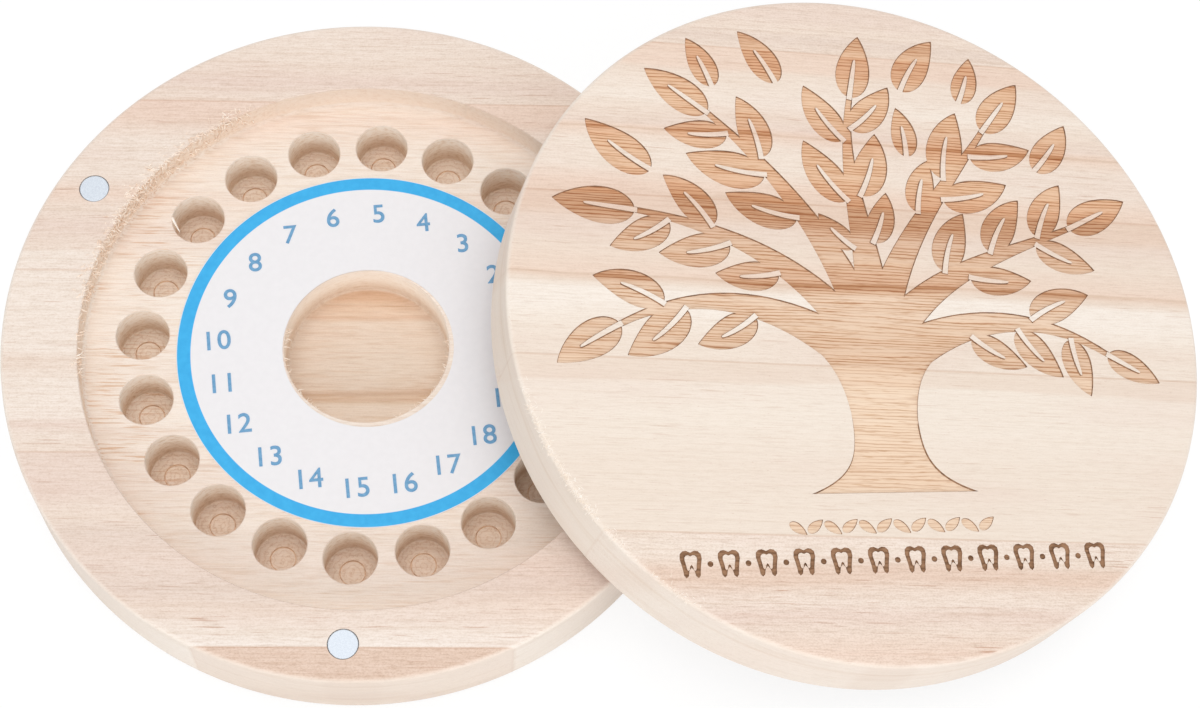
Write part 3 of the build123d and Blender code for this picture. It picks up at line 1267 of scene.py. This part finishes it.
def make_base():
    """The base's boards and its label."""
    boards = sawn(milled_base(), base_boards, base_seams, base_thickness)
    scored = charred_wood("scored_line", LEVEL, SCORED_LINE)
    first_seed, seed_step = BASE_SEED
    for number, (board, name) in enumerate(zip(boards, base_boards)):
        edges, seed = base_seams[number:number + 2], first_seed + seed_step * number
        wood = clean_wood(name, LEVEL, edges, seed, milled=True)
        dress(board, name, "base", [wood, scored])
    coated(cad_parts["label_ring"], label_paper())
    numbers = coated(printed_numbers(), number_ink())
    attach(numbers, "base")


def make_lid():
    """The lid's boards, placed where the lid leans."""
    place = lid_place()
    boards = sawn(engraved_lid(), lid_boards, lid_seams, lid_thickness)
    charred = charred_wood("charred_wall", place, CHARRED_WALL)
    first_seed, seed_step = LID_SEED
    for number, (board, name) in enumerate(zip(boards, lid_boards)):
        edges, seed = lid_seams[number:number + 2], first_seed + seed_step * number
        wood, burnt = (make(name, place, edges, seed) for make in (clean_wood, burnt_wood))
        board.data.transform(place)
        dress(board, name, "lid", [wood, burnt, charred])


def plate_magnets():
    """Nickel on all the magnets."""
    metal = magnet_metal()
    for name in magnet_names:
        coated(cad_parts[name], metal)


# Stage: floor, light and camera

view_lift = radians(66.7)
view_turn = radians(-6.66)
view_roll = radians(6.66)
view_distance = 407.6 * MM
view_target = Vector((39.9, -3.1, 14.4)) * MM
view_lens = 72.79
floor_size = 6.0
floor_white = (235, 235, 235)
floor_shade = (120, 120, 120)
floor_glow = 0.82
room_glow = 0.65
lamp_aim = Vector((0.04, 0, 0))


def seen_directly(tree):
    """One for rays from the camera, from mirrors and through glass."""
    path = node("LightPath", {}, tree).outputs
    direct = maths("ADD", path["Is Camera Ray"], path["Is Glossy Ray"])
    return maths("ADD", direct, path["Is Transmission Ray"], clamp=True)


def make_floor():
    """A plain white floor that keeps a soft shadow."""
    floor = started(bpy.ops.mesh.primitive_plane_add, size=floor_size)
    floor.name = "studio_floor"
    material = bpy.data.materials.new("floor_white")
    material.use_nodes = True
    tree = material.node_tree
    tree.nodes.clear()
    plain = node("BsdfDiffuse", {0: linear(*floor_white)}, tree).outputs[0]
    dim = node("BsdfDiffuse", {0: linear(*floor_shade)}, tree).outputs[0]
    glow = node("Emission", {0: (1, 1, 1, 1), 1: floor_glow}, tree).outputs[0]
    lit = node("AddShader", {0: dim, 1: glow}).outputs[0]
    both = node("MixShader", {0: seen_directly(tree), 1: plain, 2: lit}).outputs[0]
    node("OutputMaterial", {0: both})
    coated(floor, material)


def make_light():
    """A white room, a large soft lamp above and a weaker one in front."""
    world = bpy.data.worlds.new("studio_air")
    bpy.context.scene.world = world
    world.use_nodes = True
    world.node_tree.nodes.clear()
    level = eased(seen_directly(world.node_tree), 0.0, 1.0, room_glow, 1.0)
    back = node("Background", {0: (1, 1, 1, 1), 1: level}).outputs[0]
    node("OutputWorld", {0: back})
    soft_lamp("top_lamp", (0.0, 0.0, 1.3), 1.1, 7.0)
    soft_lamp("front_lamp", (0.1, -1.2, 0.5), 0.9, 4.8)


def soft_lamp(name, place, size, power):
    """A round soft lamp that looks at the box."""
    lamp = started(bpy.ops.object.light_add, type="AREA", location=place)
    lamp.name = name
    lamp.data.shape = "DISK"
    lamp.data.size = size
    lamp.data.energy = power
    aim = lamp_aim - Vector(place)
    lamp.rotation_euler = aim.to_track_quat("-Z", "Y").to_euler()


def make_camera():
    """The photograph's point of view."""
    camera = bpy.data.objects.new("camera", bpy.data.cameras.new("camera"))
    bpy.context.scene.collection.objects.link(camera)
    camera.data.lens = view_lens
    turn = Matrix.Rotation(view_turn, 4, "Z") @ Matrix.Rotation(pi / 2 - view_lift, 4, "X")
    turn = turn @ Matrix.Rotation(view_roll, 4, "Z")
    back = turn @ Vector((0, 0, 1))
    camera.matrix_world = Matrix.Translation(view_target + view_distance * back) @ turn
    camera.data.clip_start = 0.01
    bpy.context.scene.camera = camera
    bpy.context.scene.view_settings.view_transform = "Standard"


make_camera()
make_floor()
make_light()
make_base()
make_fibres()
make_lid()
plate_magnets()
